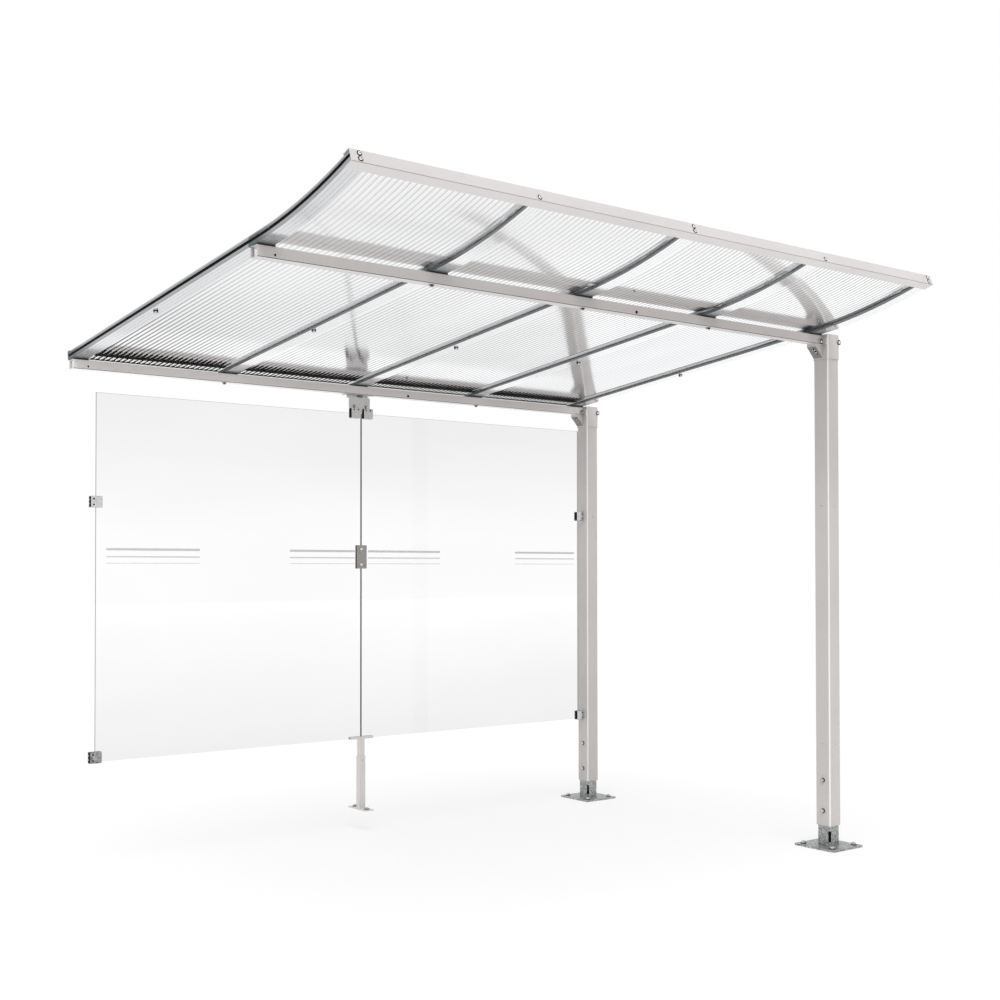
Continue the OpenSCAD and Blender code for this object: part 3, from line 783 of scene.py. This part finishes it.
def hexagon(flats, low, high, chamfer=0.8, phase=0.0):
    """Nut or head, flats wide, from low to high, with its top chamfered."""
    r = flats / 2 / math.cos(math.pi / 6)
    return turned([(r, low), (r, high - chamfer), (r - chamfer, high)], 6, phase)


def flanks(flats, low, high, chamfer, first, second):
    """Hexagon head whose six sides take two finishes in turn, with the top in the first one: the second,
    dark finish paints shade on every other flank.
    """
    verts, faces = hexagon(flats, low, high, chamfer, 0.5)
    dark = [f for k, f in enumerate(faces[:6]) if k % 2 == 0]
    light = [f for f in faces if f not in dark]
    return [((verts, light), first), ((verts, dark), second)]


def washer(outer, low, high):
    """Ring of radius outer with eased edges."""
    return turned([(outer - 0.3, low), (outer, low + 0.3), (outer, high - 0.4), (outer - 0.4, high)], 24)


def button(r, high, pit_r, head, pit_shade):
    """Domed head with a dark six-sided patch on its top, a painted shade for its hex socket; head and patch
    each take a finish.
    """
    rings = [(r, 0), (r, high * 0.25), (r * 0.93, high * 0.58), (r * 0.78, high * 0.84), (r * 0.55, high)]
    return [(turned(rings, 24), head), (turned([(pit_r, high * 0.55), (pit_r, high + 0.05)], 6), pit_shade)]


def dome(mat, sides, *rings):
    """Short turned piece in one finish."""
    return turned(rings, sides), mat


# The black washers are sealing washers, and their black ring round a head also stands for the shade round
# it; the black six-sided tops of the button and clip heads are painted shade for their sockets.
KINDS = {
    "post_bolt": [(washer(11.5, 0, 1.6), BLACK_STEEL), (hexagon(17, 1.6, 8.2), STAINLESS)],
    "anchor": [(washer(14, 0, 2.5), BLACK_STEEL), (hexagon(19, 2.5, 12.0, 1.2), ZINC_BRIGHT),
               dome(ZINC_MID, 16, (4.6, 11.9), (4.6, 12.5), (3.8, 13.2))],
    "foot_bolt": [(washer(13.5, 0, 2.2), BLACK_STEEL), (hexagon(16, 2.2, 9.5, 1.0), STAINLESS)],
    "ear_bolt": [(washer(12.5, 0, 1.4), RUBBER), *button(8.0, 6.0, 2.6, HEAD_STEEL, BLACK_STEEL)],
    "rail_bolt": [(washer(10.5, 0, 2.0), RUBBER), *flanks(16, 2.0, 9.0, 0.8, ZINC_BRIGHT, FLANK_STEEL)],
    "hole_sleeve": [dome(RUBBER, 20, (4.45, -2.4), (4.45, -0.3))],
    "hole_plug": [dome(RUBBER, 20, (6.8, -0.1), (6.8, 0.4), (6.2, 0.9))],
    "eave_screw": [(washer(9.8, 0, 1.0), RUBBER), *button(6.8, 4.6, 2.4, HEAD_STEEL, RUBBER)],
    "clip_screw": [(washer(8.8, 0, 0.6), BLACK_STEEL),
                   dome(HEAD_STEEL, 20, (7.4, 0.6), (7.4, 2.0), (6.6, 2.6)),
                   dome(BLACK_STEEL, 6, (2.0, 2.4), (2.0, 2.65))],
    "socket_screw": [(washer(4.3, 0, 0.6), BLACK_STEEL),
                     dome(RUBBER, 16, (3.5, 0), (3.5, 1.1), (3.0, 1.4))],
    "brace_nut": [(washer(10.5, -4.6, -3.2), RUBBER),
                  dome(HEAD_STEEL, 16, (4.3, -3.2), (4.3, -1.0), (3.7, -0.6))],
    "side_screw": [dome(STAINLESS, 16, (3.8, 0), (3.8, 1.2), (3.2, 1.7))],
    "thread_insert": [dome(ZINC_BRIGHT, 20, (6.5, 0), (6.5, 0.5), (5.6, 0.9)),
                      dome(ZINC_MID, 16, (3.0, 0.5), (3.0, 0.95))],
    "clamp_bolt": [dome(STAINLESS, 12, (3.9, 0), (3.9, 10)), (hexagon(12, 10, 17, 0.8), STAINLESS)],
    "hanger_bolt": [*flanks(18, 0, 8, 1.0, ZINC_BRIGHT, FLANK_STEEL),
                    dome(BLACK_STEEL, 12, (3.9, 8), (3.9, 11.5))],
}
print(len(KINDS), "kinds of fastener")

# %% [markdown]
# ## Where each fastener sits
# Positions come from the boxes of the CAD nodes and a few measured offsets. Each entry is a place
# on the surface and the direction the head points.

# %% Fastener places
DOWN, UP, FRONT, BACK, LEFT, RIGHT = (0, 0, -1), (0, 0, 1), (0, -1, 0), (0, 1, 0), (-1, 0, 0), (1, 0, 0)
POST_BOLTS, ANCHOR_OFF = (0.174, 0.321), 0.0825
SCREW_GAP, PLATE_GAP, NUT_GAP = 0.0133, 0.009, 0.0055  # half the distance of screws in a pair
JOINT_X = -1.596  # the joint between the panes, over the leg
CLAMP_UP, CLAMP_LOW, HANGER_CLAMP = 1.641, 0.487, 2.138
MID_BOLT = -1.5954  # the hanger takes its place on the rear beam
RAIL_BOLTS = (-2.380, MID_BOLT, -0.825)
END_HOLE, MID_HOLE, HOLE_DEEP = -3.080, -1.304, 0.029
GUTTER_Y = -0.800
places = {kind: [] for kind in KINDS}


def put(kind, x, y, z, aim):
    """One more fastener of a kind, at a place, with its head towards aim."""
    places[kind].append(((x, y, z), tuple(aim)))


for side in ("rear", "front"):
    lo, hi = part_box(side + "_post")
    y, top = (lo.y + hi.y) / 2, hi.z
    beam_lo, beam_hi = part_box(side + "_beam")
    beam_y = (beam_lo.y + beam_hi.y) / 2
    for z in POST_BOLTS:
        put("post_bolt", lo.x, y, z, LEFT)
        put("post_bolt", hi.x, y, z, RIGHT)
    for dx in (-ANCHOR_OFF, ANCHOR_OFF):
        for dy in (-ANCHOR_OFF, ANCHOR_OFF):
            put("anchor", dx, y + dy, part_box(side + "_base_plate")[1].z, UP)
    put("ear_bolt", -0.055, y - 0.014, top - 0.031, FRONT)
    put("ear_bolt", 0.038, y - 0.047, top - 0.031, FRONT)
    # nuts on a plate behind the long hole in the brace, whose face slopes at 45 degrees
    slot_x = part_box(side + "_head_bracket")[0].x + 0.023
    for step in (-NUT_GAP, NUT_GAP):
        put("brace_nut", slot_x + step, beam_y - 0.005, beam_lo.z - 0.037 - step, (-1, 0, -1))
    for z in (CLAMP_UP, CLAMP_LOW + 0.008):
        put("thread_insert", 0.001, lo.y, z, FRONT)
        if side == "front":
            put("thread_insert", lo.x, y, z, LEFT)
            put("thread_insert", hi.x, y, z, RIGHT)
    for x in RAIL_BOLTS:
        if side == "front" or x != MID_BOLT:
            put("rail_bolt", x, beam_y, beam_lo.z, DOWN)
    put("hole_sleeve", END_HOLE, beam_lo.y, beam_hi.z - HOLE_DEEP, FRONT)
    put("hole_plug", MID_HOLE, beam_lo.y, beam_hi.z - HOLE_DEEP, FRONT)

rail_x = [(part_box(f"rail_{i}")[0].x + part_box(f"rail_{i}")[1].x) / 2 for i in range(1, 6)]
gutter_along = (GUTTER_Y - BEND_Y) / math.cos(TILT)
for x, off in zip(rail_x, (-0.005, -0.021, 0.002, 0.021, 0.003)):
    put("rail_bolt", x + off, *on_roof(x, gutter_along, 0).yz, -roof_up(gutter_along))

# the eave channel's face stands 2.8 mm in front of the ends of the rails
turn = TILT + BEND_TURN
out = Vector((0, -math.cos(turn), math.sin(turn)))
for i, (x, off) in enumerate(zip(rail_x, (-0.001, -0.017, 0.006, 0.035, 0.011))):
    x += off
    for high in ((0.0098, 0.0299) if i % 2 == 0 else (0.0103,)):
        at = on_roof(x, -ARC, high) + out * 0.0028
        put("eave_screw", x, at.y, at.z, out)

for y in (-0.055, 0.055):
    put("foot_bolt", JOINT_X, y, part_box("leg_plate")[1].z, UP)
put("side_screw", JOINT_X + 0.002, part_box("leg_sleeve")[0].y, 0.3556, FRONT)
for z in (1.4388, 1.359):
    put("clip_screw", -1.600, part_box("centre_clip")[0].y, z, FRONT)
for z in (CLAMP_UP, CLAMP_LOW):
    for side, x in (("left_clamps", -3.0515), ("right_clamps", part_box("right_clamps")[1].x - 0.013)):
        lo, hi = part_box(side)
        for dz in (-SCREW_GAP, SCREW_GAP):
            put("socket_screw", x, lo.y, z + dz, FRONT)
            put("socket_screw", x, hi.y, z + dz, BACK)
    for dz in (-PLATE_GAP, PLATE_GAP):
        put("side_screw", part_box("left_clamps")[0].x - 0.0011, 0, z + dz, LEFT)
for x in (-1.6466, -1.6201, -1.5723, -1.5455):
    put("socket_screw", x, -0.012, 2.155, FRONT)
    put("socket_screw", x, 0.012, 2.155, BACK)
put("hanger_bolt", -1.591, 0.004, 2.232, DOWN)
for x in (-1.6376, -1.5656):
    put("clamp_bolt", x, -0.0085, 2.164, UP)
print({k: len(v) for k, v in places.items()})


# %% [markdown]
# ## Placing them
# Each kind is a point cloud with its directions as an attribute, so one small tree serves all.

# %% The tree that places fasteners
def fastener_tree():
    """A copy of a shape on every point, with its head along the point's aim."""
    tree, o = new_tree("fasteners_on_points", Object="Shape")
    aim = socket(tree, "GeometryNodeInputNamedAttribute", {"Name": "aim"}, data_type="FLOAT_VECTOR")
    turned_to = socket(tree, "FunctionNodeAlignRotationToVector", {"Vector": aim}, axis="Z")
    copies = {"Points": o["Geometry"], "Instance": object_shape(tree, o["Shape"]), "Rotation": turned_to}
    cloud = socket(tree, "GeometryNodeInstanceOnPoints", copies)
    add(tree, "NodeGroupOutput", {0: socket(tree, "GeometryNodeRealizeInstances", {0: cloud})})
    return tree


placing = fastener_tree()
for kind, spots in places.items():
    form = shape(kind, KINDS[kind])
    cloud = bpy.data.meshes.new(kind + "_points")
    cloud.from_pydata([p for p, _ in spots], [], [])
    aims = cloud.attributes.new("aim", "FLOAT_VECTOR", "POINT")
    aims.data.foreach_set("vector", [c for _, a in spots for c in a])
    piece = run_tree(kind + "s", placing, {"Shape": form}, cloud)
    bpy.data.objects.remove(form)
    keep(piece, "galvanised_steel" if kind == "anchor" else "clamp_metal")

# %% [markdown]
# ## Stripes on the glass
# Plain stripes warn people that there is glass: three printed lines of falling width on each side
# of a bare middle. They are a film a fifth of a millimetre thick on the front face, so they are
# modelled as thin plates, which keeps their edges crisp from any distance.

# %% Stripes
def film(name, shade):
    """Printed film, faded to six levels darker here and there."""
    mat, tree = new_material(name)
    darker = "".join(f"{max(int(shade[i:i + 2], 16) - 6, 0):02X}" for i in (0, 2, 4))
    return surface(mat, {
        "Base Color": tinted(tree, spread(tree, pattern(tree, 25, 3), 0, 1), darker, shade), "IOR": 1.5,
        "Roughness": spread(tree, pattern(tree, 5, 2), 0.45, 0.6),
        "Normal": relief(tree, 1.5, 1, 0.02, 0.3)})


def plate_prism(x0, x1, z0, z1, y0, y1, cut):
    """Flat plate with its front edges chamfered by cut."""
    ring = lambda d, y: [(x0 + d, y, z0 + d), (x1 - d, y, z0 + d), (x1 - d, y, z1 - d), (x0 + d, y, z1 - d)]
    verts = ring(cut, y0) + ring(0, y0 + cut) + ring(0, y1)
    faces = [(0, 1, 2, 3), (11, 10, 9, 8)]
    for j in (0, 4):
        faces += [(j + k, j + 4 + k, j + 4 + (k + 1) % 4, j + (k + 1) % 4) for k in range(4)]
    return verts, faces


def plates(name, boxes, mat, cut=0.00008):
    """Several such plates as one piece."""
    verts, faces = [], []
    for b in boxes:
        v, f = plate_prism(*b, cut)
        faces += [tuple(i + len(verts) for i in face) for face in f]
        verts += v
    return new_piece(name, verts, faces, mat)


STRIPE_ENDS = [(-2.989, -2.519), (-2.024, -1.637), (-1.556, -1.089), (-0.561, -0.113)]
STRIPES = [("wide", 1.427, 0.011, "D6D9D7"), ("middle", 1.393, 0.0065, "DEDFDF"),
           ("thin", 1.363, 0.0035, "E8E9E9")]
glass_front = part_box("glass_left")[0].y
for name, z, height, shade in STRIPES:
    boxes = [(a, b, z - height / 2, z + height / 2, glass_front - 0.00025, glass_front - 0.00002)
             for a, b in STRIPE_ENDS]
    keep(plates(f"glass_stripes_{name}", boxes, film(f"printed_film_{name}", shade)), "wall_glass")

# %% [markdown]
# ## Joint seal and dark ends of the clamps
# Grey silicone closes the joint between the panes, and black plastic the open ends of the glass
# clamps. Both lie flush with their neighbours, so they are thin plates like the stripes.

# %% Joint seal and clamp end plates
seal_x = (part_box("glass_left")[1].x + 0.0002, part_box("glass_right")[0].x - 0.0002)
seal_spans = ((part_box("leg_head")[1].z + 0.001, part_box("centre_clip")[0].z - 0.001),
              (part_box("centre_clip")[1].z + 0.001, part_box("centre_hanger")[0].z - 0.001))
print("joint", [round(v, 4) for v in seal_x + seal_spans[0] + seal_spans[1]])
seal = rubber("grey_silicone_seal", "969898", "A2A4A4", 0.3)
seal_boxes = [(*seal_x, *span, -0.002, 0.002) for span in seal_spans]
keep(plates("joint_seal", seal_boxes, seal, 0.0004), "rail_rubber")
END_HALF = (0.0235, 0.011)  # half the height and half the depth of a clamp's end
spots = [(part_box(side)[0].x, z) for z in (CLAMP_UP, CLAMP_LOW) for side in ("left_clamps", "right_clamps")]
spots += [(JOINT_X + off, HANGER_CLAMP) for off in (-0.066, 0.011)]
end_boxes = [(x - 0.0012, x - 0.00005, z - END_HALF[0], z + END_HALF[0], -END_HALF[1], END_HALF[1])
             for x, z in spots]
keep(plates("clamp_end_plates", end_boxes, RUBBER, 0.0003), "rail_rubber")

# %% [markdown]
# ## Foam combs, tape and rims of the sheets
# The back ends of the roof sheets are closed by a black foam comb, which keeps wasps and dust out. The
# comb lies just under the sheets, and its long tapered teeth are painted shade: they stand for the dark
# sawtooth seen over the rear beam. One tooth is drawn in plan and repeated on a line, and the tree that
# bends the sheets bends the row too. Fleece tape and the milky rim are single strips on that path.

# %% Foam comb
def prism(name, outline, low, high, mat):
    """Flat piece from a counterclockwise outline in plan, given in mm."""
    n = len(outline)
    verts = [(x * MM, y * MM, h * MM) for h in (low, high) for x, y in outline]
    faces = [tuple(range(n))[::-1], tuple(range(n, 2 * n))]
    faces += [(k, (k + 1) % n, n + (k + 1) % n, n + k) for k in range(n)]
    return new_piece(name, verts, faces, mat)


def row_tree():
    """A shape repeated on a line along X and bent to the roof's path."""
    tree, o = new_tree("row_on_roof", Object="Shape", Int="Count", Float="Pitch, Start, Radius, Run")
    row = row_along_x(tree, object_shape(tree, o["Shape"]), o["Count"], o["Start"], o["Pitch"])
    real = socket(tree, "GeometryNodeRealizeInstances", {0: row})
    add(tree, "NodeGroupOutput", {0: bend_along_roof(tree, real, o["Radius"], o["Run"])})
    return tree


def on_path(name, form, start, count):
    """Copies of a form, count times a flute apart, laid along the roof."""
    values = {"Shape": form, "Pitch": FLUTE * MM, "Start": start, "Count": count}
    return along_roof(name, rows, values)


# one flute of the comb in plan, Y from the back: a foot, a thin leg, the solid strip, a tapered tooth
COMB = [(-9, 2), (9, 2), (9, 24), (3.6, 28), (3.6, 74), (12.5, 74), (12.5, 104), (7.5, 108), (3.5, 175),
        (-3.5, 175), (-7.5, 108), (-12.5, 104), (-12.5, 74), (-3.6, 74), (-3.6, 28), (-9, 24)]
COMB_FROM, COMB_HALF = 6.9, 13
TAPE_FROM, TAPE_TO = 10, 78
RIM_W, RIM_STEPS = 33, 40
UNDER = SHEET_LOW / MM
rows = row_tree()
# painted shade: the long black teeth under the sheet stand for the dark sawtooth over the rear beam
tooth = prism("comb_tooth", COMB, UNDER - 1.9, UNDER - 0.4, RUBBER)
for i in range(1, 5):
    left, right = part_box(f"rail_{i}")[1].x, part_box(f"rail_{i + 1}")[0].x
    first = (math.ceil((left / MM + COMB_HALF - COMB_FROM) / FLUTE) * FLUTE + COMB_FROM) * MM
    count = int((right - 0.0127 - first) / (FLUTE * MM)) + 1
    keep(on_path(f"foam_comb_{i}", tooth, first, count), "rail_rubber")
    a, b = left / MM + 0.5, right / MM - 0.5
    outline = [(a, TAPE_FROM), (b, TAPE_FROM), (b, TAPE_TO), (a, TAPE_TO)]
    strip = prism("tape", outline, UNDER - 0.35, UNDER - 0.05, TAPE)
    keep(on_path(f"breather_tape_{i}", strip, 0.0, 1), "panel_polycarbonate")
    bpy.data.objects.remove(strip)
    steps = [REAR_Y / MM + 20 + (RUN + ARC - 0.075) / MM * k / RIM_STEPS for k in range(RIM_STEPS + 1)]
    rim = [(b - RIM_W, y) for y in steps[::-1]] + [(b, y) for y in steps]
    strip = prism("margin", rim, UNDER - 0.30, UNDER - 0.06, MARGIN)
    keep(on_path(f"sheet_margin_{i}", strip, 0.0, 1), "panel_polycarbonate")
    bpy.data.objects.remove(strip)
bpy.data.objects.remove(tooth)

# %% [markdown]
# ## Floor
# A pale matt floor catches a soft shadow. Where the eye sees it, it is mostly plain white, and the
# light that it throws up under the roof still comes from its matt half.

# %% Floor
def seen_by_eye(tree):
    """1 for rays from the camera, a mirror or clear glass, 0 for the light that falls on things."""
    rays = add(tree, "ShaderNodeLightPath").outputs
    seen = maths(tree, "MAXIMUM", rays["Is Camera Ray"], rays["Is Glossy Ray"])
    return maths(tree, "MAXIMUM", seen, rays["Is Transmission Ray"])


mat, tree = new_material("pale_studio_floor")
seen = seen_by_eye(tree)
tone = tinted(tree, seen, "FCFCFC", "FFFFFF")
matt = socket(tree, "ShaderNodeBsdfDiffuse", {"Color": tone})
plain = socket(tree, "ShaderNodeEmission", {"Color": (1, 1, 1, 1), "Strength": 1.0})
veil = times(tree, seen, 0.7)
close(tree, socket(tree, "ShaderNodeMixShader", {0: veil, 1: matt, 2: plain}))
FLOOR = 40
corners = [(-FLOOR, -FLOOR, 0), (FLOOR, -FLOOR, 0), (FLOOR, FLOOR, 0), (-FLOOR, FLOOR, 0)]
floor = new_piece("floor", corners, [(0, 1, 2, 3)], mat)
floor.location.z = -0.0005

# %% [markdown]
# ## World
# The world is white where the camera, a mirror or clear glass looks at it, and a soft grey light
# for everything else, so that bright surroundings don't wash out the paint.

# %% World
world = bpy.data.worlds.new("studio")
bpy.context.scene.world = world
world.use_nodes = True
tree = world.node_tree
tree.nodes.clear()
way = axes(tree, "Generated")
level = maths(tree, "ADD", times(tree, way[0], -0.12), times(tree, way[1], -0.02))
level = maths(tree, "ADD", level, 0.50)
white = (1, 1, 1, 1)
soft = socket(tree, "ShaderNodeBackground", {"Color": white, "Strength": level})
plain = socket(tree, "ShaderNodeBackground", {"Color": white, "Strength": 1.0})
blend = socket(tree, "ShaderNodeMixShader", {0: seen_by_eye(tree), 1: soft, 2: plain})
add(tree, "ShaderNodeOutputWorld", {"Surface": blend})
print("floor and world ready")

# %% [markdown]
# ## Lamp
# One broad lamp high in front gives the direction of the light; a Sun lamp lights all evenly.

# %% Lamp
def broad_lamp(name, towards, strength, spread_deg):
    """Even light from one direction, softened by its wide angle; mirrors don't show it."""
    lamp = bpy.data.lights.new(name, "SUN")
    lamp.energy, lamp.angle = strength, math.radians(spread_deg)
    holder = in_scene(name, lamp)
    holder.rotation_euler = Vector(towards).to_track_quat("-Z", "Y").to_euler()
    holder.visible_glossy = False
    return holder


broad_lamp("front_light", (0.26, 0.32, -0.9), 2.05, 40)
print("lamp set")

# %% [markdown]
# ## Finish
# The view transform is Standard, so that a colour renders about as it is written.

# %% Finish
bpy.context.scene.view_settings.view_transform = "Standard"
